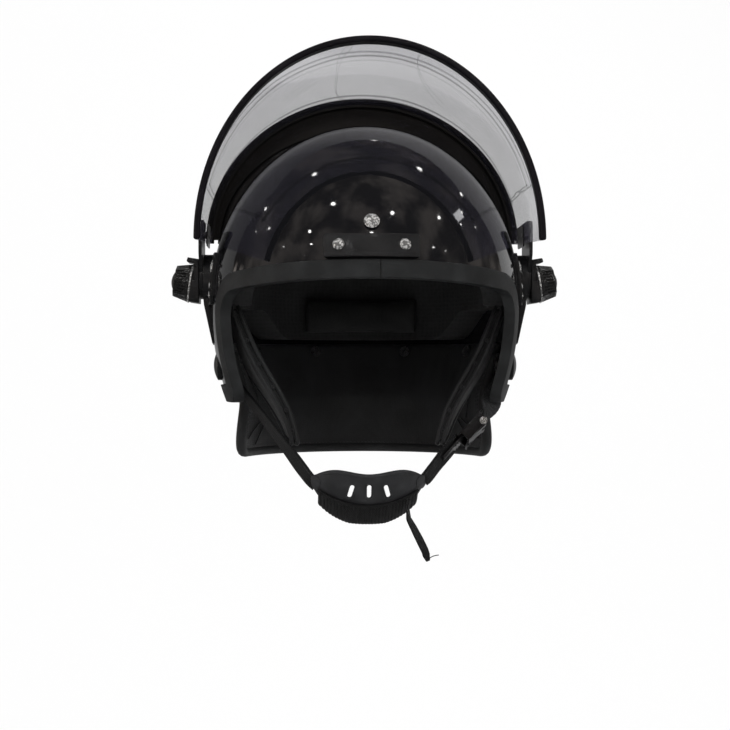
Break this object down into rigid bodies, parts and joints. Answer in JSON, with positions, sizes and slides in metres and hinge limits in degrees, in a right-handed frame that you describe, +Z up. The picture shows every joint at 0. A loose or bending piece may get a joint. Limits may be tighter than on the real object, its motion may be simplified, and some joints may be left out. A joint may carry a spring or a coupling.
{
  "type": "riot helmet with visor",
  "caption": "Open-face protective helmet with a hinged curved visor on clamping knobs, padded lining, quilted neck guard and a chin strap with a ratchet buckle.",
  "frame": {"origin": "middle of the line through the two visor pivots, which is the middle of the wearer's head", "axes": "+Z up, -Y the way the wearer looks, +X the wearer's left along the pivot line"},
  "size_m": [0.3092, 0.3008, 0.3897],
  "materials": {
    "shell": "high gloss",
    "trim": "matte",
    "foam": "moulded bead foam",
    "lining": "knitted",
    "pad_cloth": "coated cloth with piping",
    "guard_cover": "soft grain",
    "steel": "zinc plated",
    "black_plastic": "semi gloss",
    "chrome": "polished",
    "clear_lens": "polished, clear",
    "strip": "satin",
    "gasket_rubber": "glossy",
    "webbing": "woven",
    "buckle_steel": "satin",
    "cup_rubber": "matte",
    "knob_plastic": "semi gloss"
  },
  "bodies": {
    "helmet": {"outer_shell": "shell", "edge_trim": "trim", "impact_liner": "foam", "crown_pad": "lining", "brow_pad": "lining", "rear_pad": "lining", "side_pad_left": "lining", "side_pad_right": "lining", "cheek_pad_left": "pad_cloth", "cheek_pad_right": "pad_cloth", "neck_guard": "guard_cover", "neck_guard_snaps": "steel", "brow_plate": "black_plastic", "brow_rivets": "chrome", "badge_stud": "chrome", "pivot_base_left": "black_plastic", "pivot_base_right": "black_plastic", "detent_ring_left": "black_plastic", "detent_ring_right": "black_plastic", "pivot_stud_left": "steel", "pivot_stud_right": "steel", "base_screws": "chrome", "pivot_housing_left": "black_plastic", "pivot_housing_right": "black_plastic", "anchor_cover_left": "black_plastic", "anchor_cover_right": "black_plastic", "anchor_rivet_left": "steel", "anchor_rivet_right": "steel"},
    "visor": {"visor_lens": "clear_lens", "visor_edge_strip": "strip", "visor_gasket": "gasket_rubber", "visor_arm_left": "black_plastic", "visor_arm_right": "black_plastic", "visor_clamp_left": "black_plastic", "visor_clamp_right": "black_plastic", "arm_screws": "steel"},
    "left_knob": {"knob_left": "knob_plastic", "knob_washer_left": "chrome", "knob_cap_left": "knob_plastic"},
    "right_knob": {"knob_right": "knob_plastic", "knob_washer_right": "chrome", "knob_cap_right": "knob_plastic"},
    "chin_strap": {"strap_end_plate_left": "steel", "strap_end_plate_right": "steel", "strap_right": "webbing", "strap_left_upper": "webbing", "strap_left_lower": "webbing", "buckle_frame": "buckle_steel", "buckle_pin": "steel", "lever_spring": "steel", "toothed_tongue": "black_plastic", "chin_cup": "cup_rubber", "cup_webbing": "webbing", "strap_tail": "webbing"},
    "lever": {"buckle_lever": "buckle_steel"}
  },
  "joints": [
    {"name": "visor_tilt", "type": "hinge", "parent": "helmet", "child": "visor", "pos_m": [0, 0, 0], "axis": [1, 0, 0], "range_deg": [0, 92]},
    {"name": "left_knob_turn", "type": "hinge", "parent": "helmet", "child": "left_knob", "pos_m": [0.138, 0, -0.003], "axis": [0.9877, 0, 0.1564], "range_deg": [0, 360]},
    {"name": "right_knob_turn", "type": "hinge", "parent": "helmet", "child": "right_knob", "pos_m": [-0.138, 0, -0.003], "axis": [-0.9877, 0, 0.1564], "range_deg": [0, 360]},
    {"name": "chin_strap_swing", "type": "hinge", "parent": "helmet", "child": "chin_strap", "pos_m": [0, -0.012, -0.068], "axis": [1, 0, 0], "range_deg": [0, 25]},
    {"name": "buckle_lever_lift", "type": "hinge", "parent": "chin_strap", "child": "lever", "pos_m": [0.08905, -0.04612, -0.1145], "axis": [0, -0.9435, 0.3315], "range_deg": [0, 35], "stiffness_Nm_per_rad": 0.02, "springref_deg": -22.92}
  ]
}
